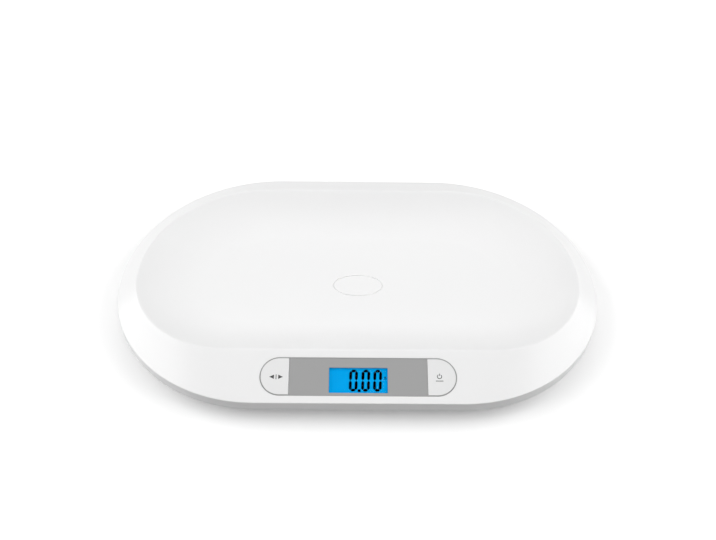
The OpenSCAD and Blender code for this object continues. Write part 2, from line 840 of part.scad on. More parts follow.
// Each lead leaves its cell inwards, runs along the base and rises behind the bay to the board.
// The leads end at these distances from the board's end: the front ones, and then the rear ones.
lead_inset = 6;
lead_pitch = 10;
module sensor_leads() {
    z = base_top_z + rib_h + lead_d / 2 + gap;
    back_y = hinge_y + hinge_r + lead_d + bay_wall;
    over_z = bay_roof_z + bay_wall + lead_d;
    end_y = bay_y + bay_half_y - lead_d / 2;
    color("lightgray") for (i = [0 : 3]) {
        sx = foot_names_x[i];
        run_x = sx * (board_w / 2 - (foot_names_y[i] < 0 ? lead_inset : lead_inset + lead_pitch));
        start = [sx * (foot_x - cell_side / 2 + lead_d), foot_names_y[i] * foot_y, z];
        wire([start, [run_x, start[1], z], [run_x, back_y, z],
              [run_x, back_y, over_z], [run_x, end_y, over_z],
              [run_x, end_y, board_under_z(end_y - lead_d / 2) - gap]], lead_d);
    }
}

module housing_screws() {
    color("silver") for (p = post_places) {
        translate([p[0], p[1], screw_seat_z])
            screw(screw_d, screw_len, screw_head_d, screw_head_t);
    }
}

// ================================ Assembly ================================

tray_shell();
base_pan();
strip_rim();
display_panel();
window_lens();
lcd_cell();
light_guide();
display_holder();
contact_strip();
display_board();
controller_chip();
key_switches();
board_screws();
unit_button();
power_button();
unit_plunger();
power_plunger();
battery_door();
battery_cells();
battery_contacts();
battery_leads();
load_cell_front_left();
load_cell_front_right();
load_cell_rear_left();
load_cell_rear_right();
cell_carrier_front_left();
cell_carrier_front_right();
cell_carrier_rear_left();
cell_carrier_rear_right();
foot_front_left();
foot_front_right();
foot_rear_left();
foot_rear_right();
foot_pad_front_left();
foot_pad_front_right();
foot_pad_rear_left();
foot_pad_rear_right();
sensor_leads();
housing_screws();
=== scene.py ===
"""Looks of the digital baby weighing scale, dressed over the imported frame.

Lengths in the classes are millimetres, and every finished mesh is in metres in the frame:
+Z is up, +X runs along the platform and the display faces -Y.
"""

import logging
import math
from dataclasses import dataclass, field
from enum import Enum
from typing import Callable, ClassVar, Iterable, Sequence

import bmesh
import bpy
from mathutils import Matrix, Vector


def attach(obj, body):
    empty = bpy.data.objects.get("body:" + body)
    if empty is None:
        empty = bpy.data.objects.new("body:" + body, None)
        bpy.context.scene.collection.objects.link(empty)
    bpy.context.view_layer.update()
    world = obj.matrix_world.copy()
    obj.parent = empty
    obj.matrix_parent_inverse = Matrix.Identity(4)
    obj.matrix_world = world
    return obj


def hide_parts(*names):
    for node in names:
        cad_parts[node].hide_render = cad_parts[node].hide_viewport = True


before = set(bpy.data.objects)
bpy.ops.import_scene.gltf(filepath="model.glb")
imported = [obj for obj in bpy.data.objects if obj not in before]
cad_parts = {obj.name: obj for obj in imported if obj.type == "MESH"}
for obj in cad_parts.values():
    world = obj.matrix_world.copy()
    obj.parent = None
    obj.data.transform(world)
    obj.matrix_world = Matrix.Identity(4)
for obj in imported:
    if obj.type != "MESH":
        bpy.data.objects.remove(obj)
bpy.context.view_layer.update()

LOG = logging.getLogger("weighing_scale")
MM = 0.001
WHITE = (1.0, 1.0, 1.0, 1.0)
CORNERS = ("front_left", "rear_left", "front_right", "rear_right")
Pair = tuple[float, float]
Point = tuple[float, float, float]
Colour = tuple[float, float, float]
BMesh = bmesh.types.BMesh
BMVert = bmesh.types.BMVert
BMEdge = bmesh.types.BMEdge
BMFace = bmesh.types.BMFace


class Body(Enum):
    """The bodies of the frame that the new pieces ride on."""

    ROOT = "root"
    UNIT = "unit_button"
    POWER = "power_button"


class Side(Enum):
    """The two ends of the strip, seen from the front."""

    LEFT = -1
    RIGHT = 1


class Grain(Enum):
    """How a finish's fine surface runs."""

    EVEN = (1.0, 1.0, 1.0)
    ALONG_X = (0.04, 1.0, 1.0)
    ALONG_Y = (1.0, 0.05, 1.0)


# ------------------------ finishes


def feed(node: bpy.types.Node, inputs: dict[str | int, object]) -> None:
    """Sets a node's inputs, or links them to the sockets that feed them.

    Args:
        node: The node.
        inputs: A value or a socket for each input, by its name or number.
    """
    for name, value in inputs.items():
        if isinstance(value, bpy.types.NodeSocket):
            node.id_data.links.new(value, node.inputs[name])
        else:
            node.inputs[name].default_value = value


def add_node(tree: bpy.types.NodeTree, kind: str, inputs: dict[str | int, object] | None = None,
             **settings: object) -> bpy.types.Node:
    """Adds a node to a tree.

    Args:
        tree: The tree.
        kind: The node's type.
        inputs: A value or a socket for each input that is set.
        **settings: The node's own settings, which are set first.

    Returns:
        The node.
    """
    node = tree.nodes.new(kind)
    for name, value in settings.items():
        setattr(node, name, value)
    feed(node, inputs or {})
    return node


def grain_group() -> bpy.types.NodeTree:
    """Builds, once, the node group that varies a finish's tone, gloss and height.

    Returns:
        The shader node group "surface_grain".
    """
    found = bpy.data.node_groups.get("surface_grain")
    if found:
        return found
    tree = bpy.data.node_groups.new("surface_grain", "ShaderNodeTree")
    plan = {
        "INPUT": {"Colour": "Color", "Tone Spread": "Float", "Gloss": "Float",
                  "Gloss Spread": "Float", "Grain Scale": "Float", "Cloud Scale": "Float",
                  "Stretch": "Vector"},
        "OUTPUT": {"Colour": "Color", "Roughness": "Float", "Height": "Float"},
    }
    for way, sockets in plan.items():
        for name, kind in sockets.items():
            tree.interface.new_socket(name, in_out=way, socket_type=f"NodeSocket{kind}")
    given = add_node(tree, "NodeGroupInput").outputs
    place = add_node(tree, "ShaderNodeTexCoord").outputs["Object"]
    stretched = add_node(tree, "ShaderNodeVectorMath", {0: place, 1: given["Stretch"]},
                         operation="MULTIPLY")
    grain = add_node(tree, "ShaderNodeTexNoise", {
        "Vector": stretched.outputs[0], "Scale": given["Grain Scale"], "Detail": 3.0,
    }).outputs["Fac"]
    cloud = add_node(tree, "ShaderNodeTexNoise", {
        "Vector": place, "Scale": given["Cloud Scale"], "Detail": 2.0,
    }).outputs["Fac"]
    tone = add_node(tree, "ShaderNodeMath", {0: cloud, 1: given["Tone Spread"], 2: 1.0},
                    operation="MULTIPLY_ADD")
    shade = add_node(tree, "ShaderNodeVectorMath",
                     {0: given["Colour"], "Scale": tone.outputs[0]}, operation="SCALE")
    gloss = add_node(tree, "ShaderNodeMath",
                     {0: grain, 1: given["Gloss Spread"], 2: given["Gloss"]},
                     operation="MULTIPLY_ADD", use_clamp=True)
    add_node(tree, "NodeGroupOutput", {
        "Colour": shade.outputs[0], "Roughness": gloss.outputs[0], "Height": grain,
    })
    return tree


@dataclass(frozen=True)
class Finish:
    """One real finish: its colour, its gloss and its fine surface.

    Args:
        slot: Name that the finish's material is named after.
        colour: Linear colour.
        gloss: Lowest roughness of the surface.
        metallic: 1 for bare metal.
        coat: Weight of a clear coat.
        grain_mm: Size of the fine surface's features.
        depth_mm: Height of the fine surface.
        tone_spread: Share by which the colour varies over the piece.
        gloss_spread: How much the roughness varies.
        run: Direction of the fine surface.
        glow: Strength of the light that the piece gives off.
        clear: 1 for a clear piece.
        mirror: Strength of the plain surface's reflection.
        bend: Index of refraction.
        listed: False for a print; not used.
    """

    slot: str
    colour: Colour
    gloss: float
    metallic: float = 0.0
    coat: float = 0.0
    grain_mm: float = 0.9
    depth_mm: float = 0.004
    tone_spread: float = -0.02
    gloss_spread: float = 0.05
    run: Grain = Grain.EVEN
    glow: float = 0.0
    clear: float = 0.0
    mirror: float = 0.5
    bend: float = 1.5
    listed: bool = True
    cloud_scale: ClassVar[float] = 9.0
    bump: ClassVar[float] = 0.6
    coat_gloss: ClassVar[float] = 0.2

    def material(self) -> bpy.types.Material:
        """Returns the finish's material, which is built once."""
        name = f"{self.slot}_finish"
        made = bpy.data.materials.get(name)
        if made:
            return made
        made = bpy.data.materials.new(name)
        made.use_nodes = True
        tree = made.node_tree
        grain = add_node(tree, "ShaderNodeGroup", {
            "Colour": (*self.colour, 1.0),
            "Tone Spread": self.tone_spread,
            "Gloss": self.gloss,
            "Gloss Spread": self.gloss_spread,
            "Grain Scale": 1.0 / (self.grain_mm * MM),
            "Cloud Scale": self.cloud_scale,
            "Stretch": self.run.value,
        }, node_tree=grain_group()).outputs
        relief = add_node(tree, "ShaderNodeBump", {
            "Strength": self.bump,
            "Distance": self.depth_mm * MM,
            "Height": grain["Height"],
        })
        shader = tree.nodes["Principled BSDF"]
        feed(shader, {
            "Base Color": grain["Colour"],
            "Roughness": grain["Roughness"],
            "Normal": relief.outputs["Normal"],
            "Metallic": self.metallic,
            "Specular IOR Level": self.mirror,
            "IOR": self.bend,
            "Coat Weight": self.coat,
            "Coat Roughness": self.coat_gloss,
            "Transmission Weight": self.clear,
            "Emission Strength": self.glow,
        })
        if self.glow:
            feed(shader, {"Emission Color": grain["Colour"]})
        return made


def grey(level: float) -> Colour:
    """Returns a linear grey from its display level, 0 to 255."""
    part = level / 255.0
    linear = ((part + 0.055) / 1.055) ** 2.4
    return (linear, linear, linear)


def tint(red: float, green: float, blue: float) -> Colour:
    """Returns a linear colour from display levels, 0 to 255."""
    return (grey(red)[0], grey(green)[0], grey(blue)[0])


PLATFORM = Finish("platform_white", grey(246), 0.3, coat=0.2, grain_mm=1.6, depth_mm=0.002)
BASE = Finish("base_white", grey(236), 0.34, grain_mm=0.7, depth_mm=0.006)
RIM = Finish("rim_grey", grey(162), 0.38, grain_mm=0.5, depth_mm=0.003)
PANEL = Finish("panel_grey", grey(160), 0.42, grain_mm=0.35, depth_mm=0.003, tone_spread=0.03)
WINDOW = Finish("window_clear", grey(252), 0.03, gloss_spread=0.01, depth_mm=0.0, clear=1.0,
                mirror=0.1, bend=1.05)
LCD = Finish("lcd_blue", tint(0, 129, 188), 0.5, grain_mm=0.3, depth_mm=0.0, glow=0.25,
             mirror=0.0, bend=1.05)
INK = Finish("lcd_ink", grey(4), 0.4, grain_mm=0.3, depth_mm=0.0, mirror=0.0, listed=False)
PRINT = Finish("button_print", grey(58), 0.5, grain_mm=0.3, depth_mm=0.001, listed=False)
GUIDE = Finish("guide_white", grey(240), 0.25, grain_mm=0.6)
HOLDER = Finish("holder_white", grey(226), 0.4, grain_mm=0.8, depth_mm=0.005)
CONTACT = Finish("contact_rubber", grey(84), 0.7, grain_mm=0.18, depth_mm=0.02, run=Grain.ALONG_Y)
BOARD = Finish("board_green", tint(22, 92, 52), 0.32, coat=0.4, grain_mm=1.4, depth_mm=0.012)
CHIP = Finish("chip_black", grey(26), 0.3, coat=0.3, grain_mm=1.2, depth_mm=0.01)
SWITCH = Finish("switch_black", grey(34), 0.45, grain_mm=0.4, depth_mm=0.006)
SCREW = Finish("screw_steel", grey(196), 0.26, 1.0, grain_mm=0.25, depth_mm=0.004)
BUTTON = Finish("button_white", grey(238), 0.22, coat=0.2, grain_mm=0.8, depth_mm=0.003)
SLEEVE = Finish("battery_sleeve", tint(52, 70, 92), 0.3, coat=0.3, grain_mm=1.0, depth_mm=0.002)
NICKEL = Finish("contact_nickel", grey(205), 0.24, 1.0, grain_mm=0.3, depth_mm=0.004)
RED_LEAD = Finish("lead_red", tint(176, 30, 26), 0.42, grain_mm=0.5, depth_mm=0.006)
GREY_LEAD = Finish("lead_grey", grey(176), 0.45, grain_mm=0.5, depth_mm=0.006)
STEEL = Finish("cell_steel", grey(186), 0.3, 1.0, grain_mm=0.3, depth_mm=0.006, run=Grain.ALONG_X)
FOOT = Finish("foot_grey", grey(120), 0.42, grain_mm=0.7, depth_mm=0.008)
RUBBER = Finish("pad_rubber", grey(58), 0.72, grain_mm=0.45, depth_mm=0.03, gloss_spread=0.12)

CARRIED_OVER: dict[Finish, Sequence[str]] = {
    WINDOW: ("window_lens",),
    GUIDE: ("light_guide",),
    HOLDER: ("display_holder",),
    CONTACT: ("contact_strip",),
    BOARD: ("display_board",),
    CHIP: ("controller_chip",),
    SWITCH: ("key_switches", "unit_plunger", "power_plunger"),
    SCREW: ("board_screws", "housing_screws"),
    SLEEVE: ("battery_cells",),
    NICKEL: ("battery_contacts",),
    RED_LEAD: ("battery_leads",),
    GREY_LEAD: ("sensor_leads",),
    STEEL: [f"load_cell_{corner}" for corner in CORNERS],
    BASE: ["base_pan", "battery_door", *(f"cell_carrier_{corner}" for corner in CORNERS)],
}


def dress_carried_over() -> None:
    """Gives every CAD node that stays in view its real finish."""
    for finish, names in CARRIED_OVER.items():
        for name in names:
            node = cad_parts[name]
            if not node.material_slots:
                node.data.materials.append(None)
            for held in node.material_slots:
                held.material = finish.material()
            LOG.info("dressed %s in %s", name, finish.slot)


# ------------------------ mesh tools

# Vertices nearer than MERGE are merged, and edges that turn more than CREASE stay sharp
MERGE = 0.002
CREASE = math.radians(32.0)
# Edges within LEVEL_PLAY of a height that turn more than BEVEL_TURN are bevelled
LEVEL_PLAY = 0.001
BEVEL_TURN = 0.5
# Fewest steps round a corner, and steps for each millimetre of its radius
CORNER_STEPS = 4
STEPS_PER_MM = 1.6


def add_object(name: str, data: bpy.types.ID) -> bpy.types.Object:
    """Adds an object with the given data to the scene."""
    made = bpy.data.objects.new(name, data)
    bpy.context.scene.collection.objects.link(made)
    return made


def finish_piece(bm: BMesh, name: str, finish: Finish, body: Body,
                 replaces: Sequence[str] = ()) -> None:
    """Turns a mesh in millimetres into a finished piece of the frame.

    Args:
        bm: The mesh, freed here.
        name: Name of the piece.
        finish: Its finish.
        body: The body that it rides on.
        replaces: CAD nodes that it stands for.
    """
    bmesh.ops.remove_doubles(bm, verts=bm.verts, dist=MERGE)
    bmesh.ops.recalc_face_normals(bm, faces=bm.faces)
    bmesh.ops.scale(bm, vec=(MM, MM, MM), verts=bm.verts)
    for face in bm.faces:
        face.smooth = True
    mesh = bpy.data.meshes.new(name)
    bm.to_mesh(mesh)
    bm.free()
    mesh.set_sharp_from_angle(angle=CREASE)
    piece = add_object(name, mesh)
    mesh.materials.append(finish.material())
    even = piece.modifiers.new("even_shading", "WEIGHTED_NORMAL")
    even.keep_sharp = True
    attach(piece, body.value)
    if replaces:
        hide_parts(*replaces)
    LOG.info("built %s: %d faces", name, len(mesh.polygons))


def ring(bm: BMesh, points: Sequence[Point]) -> list[BMVert]:
    """Draws a closed loop through points, shaped from a circle.

    Args:
        bm: The mesh that takes the loop.
        points: Places of its vertices, in order.

    Returns:
        The loop's vertices, in order.
    """
    made = bmesh.ops.create_circle(bm, cap_ends=False, segments=len(points), radius=1.0)
    for vert, point in zip(made["verts"], points):
        vert.co = point
    return list(made["verts"])


def loop_edges(bm: BMesh, loop: Sequence[BMVert]) -> list[BMEdge]:
    """Returns the edges that join a loop's vertices."""
    return [bm.edges.get(pair) for pair in zip(loop, (*loop[1:], loop[0]))]


def loft(bm: BMesh, loop: list[BMVert], lines: Iterable[Sequence[Point]]) -> list[BMVert]:
    """Draws a loop out through lines of points, one wall at a time.

    Args:
        bm: The mesh.
        loop: The loop that the wall starts from.
        lines: The lines, each with as many points as the loop.

    Returns:
        The last line's vertices.
    """
    for points in lines:
        added = bmesh.ops.extrude_edge_only(bm, edges=loop_edges(bm, loop))["geom"]
        fresh = {item for item in added if isinstance(item, BMVert)}
        loop = [next(e.other_vert(v) for e in v.link_edges if e.other_vert(v) in fresh)
                for v in loop]
        for vert, point in zip(loop, points):
            vert.co = point
    return loop


def outline(bm: BMesh, size: Pair, radii: Sequence[float],
            centre: Pair = (0.0, 0.0), z: float = 0.0) -> BMFace:
    """Draws a flat face with rounded corners.

    Args:
        bm: The mesh that takes the face.
        size: Width and height.
        radii: Corner radii from the lower left corner, anticlockwise.
        centre: Middle of the face.
        z: Its height.

    Returns:
        The face.
    """
    half = (size[0] / 2, size[1] / 2)
    corners = [
        bm.verts.new((centre[0] + sx * half[0], centre[1] + sy * half[1], z))
        for sx, sy in ((-1, -1), (1, -1), (1, 1), (-1, 1))
    ]
    bm.faces.new(corners)
    for radius in sorted(set(radii)):
        bmesh.ops.bevel(
            bm, geom=[v for v, r in zip(corners, radii) if r == radius], offset=radius,
            segments=max(CORNER_STEPS, int(radius * STEPS_PER_MM)),
            profile=0.5, affect="VERTICES", material=-1, clamp_overlap=True,
        )
    bmesh.ops.remove_doubles(bm, verts=bm.verts, dist=MERGE)
    return min(
        (f for f in bm.faces if f.is_valid),
        key=lambda f: (f.calc_center_median() - Vector((*centre, z))).length,
    )


def fill_between(bm: BMesh) -> None:
    """Turns flat outlines into one face region with the inner outlines as holes."""
    edges = bm.edges[:]
    bmesh.ops.delete(bm, geom=bm.faces[:], context="FACES_ONLY")
    bmesh.ops.triangle_fill(bm, use_beauty=True, use_dissolve=False, edges=edges,
                            normal=(0.0, 0.0, 1.0))


def raise_faces(bm: BMesh, faces: Iterable[BMFace], height: float) -> None:
    """Extrudes flat faces along Z and leaves a closed block."""
    made = bmesh.ops.extrude_face_region(bm, geom=list(faces))
    moved = [g for g in made["geom"] if isinstance(g, BMVert)]
    bmesh.ops.translate(bm, vec=(0.0, 0.0, height), verts=moved)


def soften(bm: BMesh, chosen: Callable[[BMEdge], bool], width: float, segments: int = 3) -> None:
    """Bevels the chosen edges.

    Args:
        bm: The mesh.
        chosen: Says whether an edge is bevelled.
        width: Width of the bevel.
        segments: Its number of steps.
    """
    bmesh.ops.bevel(
        bm, geom=[e for e in bm.edges if chosen(e)], offset=width, segments=segments,
        profile=0.5, affect="EDGES", material=-1, clamp_overlap=True,
    )


def at_height(z: float) -> Callable[[BMEdge], bool]:
    """Returns a test for sharp edges that lie at a height."""

    def test(edge: BMEdge) -> bool:
        """Says whether the edge lies at the height and turns sharply."""
        level = all(abs(v.co.z - z) < LEVEL_PLAY for v in edge.verts)
        return level and len(edge.link_faces) == 2 and edge.calc_face_angle(0.0) > BEVEL_TURN

    return test


def block(size: Pair, low: float, high: float, radii: Sequence[float],
          centre: Pair = (0.0, 0.0), edge: float = 0.0) -> BMesh:
    """Makes a flat block with rounded corners and a softened upper edge.

    Args:
        size: Width and height.
        low: Lower face.
        high: Upper face.
        radii: Corner radii from the lower left corner, anticlockwise.
        centre: Middle of the block.
        edge: Width of the bevel round the upper face.

    Returns:
        The block's mesh.
    """
    bm = bmesh.new()
    raise_faces(bm, [outline(bm, size, radii, centre, low)], high - low)
    bmesh.ops.recalc_face_normals(bm, faces=bm.faces)
    if edge:
        soften(bm, at_height(high), edge)
    return bm


def join(into: BMesh, other: BMesh) -> None:
    """Adds a second mesh to the first one and frees it."""
    held = bpy.data.meshes.new("held")
    other.to_mesh(held)
    other.free()
    into.from_mesh(held)
    bpy.data.meshes.remove(held)


def turned(profile: Sequence[Pair], centre: Pair = (0.0, 0.0), steps: int = 64) -> BMesh:
    """Turns a profile round the Z axis.

    Args:
        profile: Radius and height of each point.
        centre: Place of the axis.
        steps: Steps round the axis.

    Returns:
        The turned mesh.
    """
    bm = bmesh.new()
    verts = [bm.verts.new((radius, 0.0, height)) for radius, height in profile]
    edges = [bm.edges.new(pair) for pair in zip(verts, verts[1:])]
    bmesh.ops.spin(
        bm, geom=verts + edges, cent=(0.0, 0.0, 0.0), axis=(0.0, 0.0, 1.0),
        angle=math.tau, steps=steps, use_merge=True,
    )
    bmesh.ops.remove_doubles(bm, verts=bm.verts, dist=MERGE)
    bmesh.ops.translate(bm, vec=(*centre, 0.0), verts=bm.verts)
    return bm


# ------------------------ platform


@dataclass
class Flank:
    """The sloping front of the platform, which carries the strip."""

    wall_top: float = 29.0
    front: float = -172.5
    slope: float = math.atan2(18.0, 59.0)
    strip_v: float = 29.4

    def matrix(self) -> Matrix:
        """Returns the matrix from the strip's own frame to the object's."""
        run, rise = math.cos(self.slope), math.sin(self.slope)
        return Matrix((
            (1.0, 0.0, 0.0, 0.0),
            (0.0, run, -rise, self.front + self.strip_v * run),
            (0.0, rise, run, self.wall_top + self.strip_v * rise),
            (0.0, 0.0, 0.0, 1.0),
        ))


@dataclass
class Platform:
    """The moulded top: dish, crest, flank and side wall in one shell."""

    width: float = 550.0
    depth: float = 345.0
    front_r: float = 165.0
    wall_z: float = 16.0
    wall_top: float = 29.0
    crest_z: float = 46.55
    end_drop: float = 2.0
    floor_z: float = 21.0
    end_inset: float = 22.5
    front_inset: float = 57.5
    back_inset: float = 36.5
    crest_r: float = 108.5
    side_w: float = 76.5
    edge_w: float = 58.5
    shell: float = 2.5
    lip: tuple[Pair, ...] = ((1.3, 0.0), (0.65, 0.2), (0.2, 0.7), (0.0, 1.6))
    wall_turn: float = 2.0
    edge: float = 0.8
    edge_steps: int = 5
    crest_soft: float = 2.2
    crest_steps: int = 8
    crest_slope: float = 1.45
    flank_shares: tuple[float, ...] = (0.03, 0.05, 0.2, 0.35, 0.5, 0.65, 0.77, 0.9)
    dish_power: float = 1.8
    dish_steps: int = 26
    under_shares: tuple[float, ...] = (1.0, 0.85, 0.7, 0.56, 0.43, 0.3, 0.18)
    inner_shares: Pair = (0.9, 0.5)
    elbow: float = 0.8
    mark: Pair = (58.0, 33.0)
    mark_line: float = 1.2
    mark_cut: float = 0.9
    mark_side: float = 0.2
    mark_steps: int = 96
    corner_steps: int = 44
    front_steps: int = 26
    window_rows: Pair = (0.09, 0.86)
    window_half: float = 116.0
    skin_play: float = 0.3
    window_soft: float = 0.35
    window_turn: float = 0.3
    lap: float = 0.2
    post_x: float = 120.0
    post_y: float = 42.0
    end_post_y: float = -6.5
    end_post_share: float = 0.4
    post_under: float = 0.8
    end_post_under: float = 2.0
    post_r: float = 4.0
    post_z: float = 8.5
    post_soft: float = 0.3
    post_steps: int = 32
    pilot_r: float = 1.5
    pilot_top: float = 16.0
    flank: Flank = field(default_factory=Flank)

    def loop(self, half: float, front: float, back: float, radius: float) -> list[Point]:
        """Follows one loop of the platform, from the front edge's right end.

        Args:
            half: Half of the loop's width.
            front: Its front edge.
            back: Its rear edge.
            radius: Radius of its front corners; the rear ones take the rest.

        Returns:
            Points of x, y and nearness to the ends, from 0 to 1.
        """
        rear = back - front - radius
        y = front + radius
        points: list[Point] = []

        def corner(x: float, r: float, start: float, skip: int) -> None:
            """Adds a quarter turn."""
            for k in range(skip, self.corner_steps + 1):
                a = math.radians(start + 90.0 * k / self.corner_steps)
                points.append((x + r * math.cos(a), y + r * math.sin(a), math.cos(a) ** 2))

        def straight(x0: float, x1: float, level: float) -> None:
            """Adds the steps along a straight edge."""
            for k in range(1, self.front_steps):
                points.append((x0 + (x1 - x0) * k / self.front_steps, level, 0.0))

        corner(half - radius, radius, -90.0, 0)
        corner(half - rear, rear, 0.0, 1)
        straight(half - rear, rear - half, back)
        corner(rear - half, rear, 90.0, 0)
        corner(radius - half, radius, 180.0, 1)
        straight(radius - half, half - radius, front)
        return points

    def edge_loop(self, inset: float) -> list[Point]:
        """Returns the platform's outline, drawn in by an inset."""
        return self.loop(self.width / 2 - inset, -self.depth / 2 + inset,
                         self.depth / 2 - inset, self.front_r - inset)

    def crest_loop(self) -> list[Point]:
        """Returns the line of the crest, seen from above."""
        return self.loop(self.width / 2 - self.end_inset, -self.depth / 2 + self.front_inset,
                         self.depth / 2 - self.back_inset, self.crest_r)

    def floor_loop(self) -> list[Point]:
        """Returns the edge of the dish's flat floor."""
        return self.loop(self.width / 2 - self.end_inset - self.side_w,
                         -self.depth / 2 + self.front_inset + self.edge_w,
                         self.depth / 2 - self.back_inset - self.edge_w,
                         self.crest_r - self.edge_w)

    def flank_ring(self, share: float) -> list[Point]:
        """Returns a line across the flank, from its foot at 0 to the crest at 1."""
        return [
            (a[0] + (b[0] - a[0]) * share, a[1] + (b[1] - a[1]) * share,
             self.wall_top + (self.crest_z - self.end_drop * b[2] - self.wall_top) * share)
            for a, b in zip(self.edge_loop(0.0), self.crest_loop())
        ]

    def dish_ring(self, share: float) -> list[Point]:
        """Returns a line in the dish, from the crest at 0 to the floor at 1."""
        fall = (1.0 - share) ** self.dish_power
        return [
            (a[0] + (b[0] - a[0]) * share, a[1] + (b[1] - a[1]) * share,
             self.floor_z + (self.crest_z - self.end_drop * a[2] - self.floor_z) * fall)
            for a, b in zip(self.crest_loop(), self.floor_loop())
        ]

    @staticmethod
    def rounded(one: list[Point], corner: list[Point], other: list[Point],
                steps: int) -> list[list[Point]]:
        """Rounds a corner between two lines.

        Args:
            one: The line before the corner.
            corner: The sharp corner's line.
            other: The line after the corner.
            steps: Number of steps.

        Returns:
            The lines of the rounding, without the first and last.
        """
        lines = []
        for k in range(1, steps):
            t = k / steps
            u, v, w = (1 - t) ** 2, 2 * t * (1 - t), t * t
            lines.append([tuple(u * a + v * b + w * c for a, b, c in zip(p, q, r))
                          for p, q, r in zip(one, corner, other)])
        return lines

    def level_line(self, inset: float, z: float) -> list[Point]:
        """Returns the platform's outline, drawn in by an inset, at one height."""
        return [(x, y, z) for x, y, _ in self.edge_loop(inset)]

    def lines(self) -> list[list[Point]]:
        """Returns the lines of the outer skin, from the lower lip to the floor."""
        reach = math.hypot(self.front_inset, self.crest_z - self.wall_top)
        foot, brow = self.edge / reach, 1.0 - self.crest_soft / reach
        after = self.crest_soft / self.edge_w
        wall_end = self.level_line(0.0, self.wall_top - self.edge)
        lines = [self.level_line(inset, self.wall_z + rise) for inset, rise in self.lip]
        lines += [self.level_line(0.0, self.wall_top - self.wall_turn), wall_end]
        lines += self.rounded(wall_end, self.level_line(0.0, self.wall_top),
                              self.flank_ring(foot), self.edge_steps)
        shares = sorted((foot, brow, *self.window_rows, *self.flank_shares))
        lines += [self.flank_ring(share) for share in shares]
        lines += self.rounded(self.flank_ring(brow), self.flank_ring(1.0), self.dish_ring(after),
                              self.crest_steps)
        lines += [self.dish_ring(after + (1.0 - after) * k / self.dish_steps)
                  for k in range(self.dish_steps + 1)]
        return lines

    def inner_lines(self) -> list[list[Point]]:
        """Returns the lines of the inner skin, from the floor to the lower lip."""

        def under(line: list[Point], slope: float) -> list[Point]:
            """Lowers a line by the wall's thickness, measured across its slope."""
            fall = self.shell * math.hypot(1.0, slope)
            return [(x, y, z - fall) for x, y, z in line]

        steepest = self.dish_power * (self.crest_z - self.floor_z) / self.edge_w
        lines = [under(self.dish_ring(share), steepest * (1.0 - share) ** (self.dish_power - 1.0))
                 for share in self.under_shares]
        lines.append(under(self.flank_ring(1.0), self.crest_slope))
        tilt = (self.crest_z - self.wall_top) / self.front_inset
        shares = sorted((*self.inner_shares, *self.window_rows), reverse=True)
        lines += [under(self.flank_ring(share), tilt) for share in shares]
        return lines + [self.level_line(self.shell, z)
                        for z in (self.wall_top - self.elbow * self.shell, self.wall_z)]

    def skin(self) -> BMesh:
        """Lofts both skins round the lip and closes the floor round the oval groove."""
        bm = bmesh.new()
        inner, outer = self.inner_lines(), self.lines()
        under = ring(bm, inner[0])
        edge = loft(bm, under, inner[1:] + outer)
        low = self.floor_z - self.mark_cut
        groove = ((self.mark_side, low), (self.mark_line - self.mark_side, low),
                  (self.mark_line, self.floor_z))
        oval = ring(bm, self.oval(0.0, self.floor_z))
        middle = loft(bm, oval, [self.oval(inset, z) for inset, z in groove])
        for loop in (under, middle):
            bmesh.ops.contextual_create(bm, geom=loop_edges(bm, loop))
        bmesh.ops.triangle_fill(bm, use_beauty=True, use_dissolve=False, normal=(0.0, 0.0, 1.0),
                                edges=loop_edges(bm, edge) + loop_edges(bm, oval))
        return bm

    def oval(self, inset: float, z: float) -> list[Point]:
        """Returns one line of the oval groove."""
        across, along = self.mark[0] / 2 - inset, self.mark[1] / 2 - inset
        turns = (math.tau * k / self.mark_steps for k in range(self.mark_steps))
        return [(across * math.cos(turn), along * math.sin(turn), z) for turn in turns]

    def clear_flank(self, bm: BMesh, depth: float) -> list[BMEdge]:
        """Takes out the flat faces where the strip goes.

        Args:
            bm: The platform's mesh.
            depth: How far the skin lies under the flank's face.

        Returns:
            The edges round the space.
        """
        into_strip = self.flank.matrix().inverted()
        reach = math.hypot(self.front_inset, self.crest_z - self.wall_top)
        low, high = (share * reach - self.flank.strip_v for share in self.window_rows)
        taken = []
        for face in bm.faces:
            at = into_strip @ face.calc_center_median()
            flat = abs(at.z + depth) < self.skin_play
            if flat and low < at.y < high and abs(at.x) < self.window_half:
                taken.append(face)
        held = set(taken)
        edges = [e for f in taken for e in f.edges if sum(g in held for g in e.link_faces) == 1]
        bmesh.ops.delete(bm, geom=taken, context="FACES")
        return [e for e in set(edges) if e.is_valid]

    def open_strip(self, bm: BMesh, strip: "Strip") -> None:
        """Opens the strip's stadium through the flat part of the front flank.

        Args:
            bm: The platform's mesh.
            strip: The strip that goes into the opening.
        """
        into = self.flank.matrix()
        normal = into.to_3x3() @ Vector((0.0, 0.0, 1.0))
        soft, middle = self.window_soft, (strip.length - strip.height) / 2
        turn = self.window_turn * soft
        made = bmesh.new()
        face = outline(made, (strip.length, strip.height), [strip.height / 2] * 4)
        places = [v.co.copy() for v in face.verts]
        made.free()
        lines = []
        for grow, drop in ((soft, 0.0), (turn, turn), (0.0, soft), (0.0, self.shell)):
            factor = 1.0 + 2.0 * grow / strip.height
            line = []
            for place in places:
                mid = max(-middle, min(middle, place.x))
                at = Vector((mid + (place.x - mid) * factor, place.y * factor, -drop))
                line.append(tuple(into @ at))
            lines.append(line)
        rim = ring(bm, lines[0])
        around = [self.clear_flank(bm, depth) for depth in (0.0, self.shell)]
        end = loft(bm, rim, lines[1:])
        for edges, loop in zip(around, (rim, end)):
            bmesh.ops.triangle_fill(bm, use_beauty=True, use_dissolve=False, normal=normal,
                                    edges=edges + loop_edges(bm, loop))

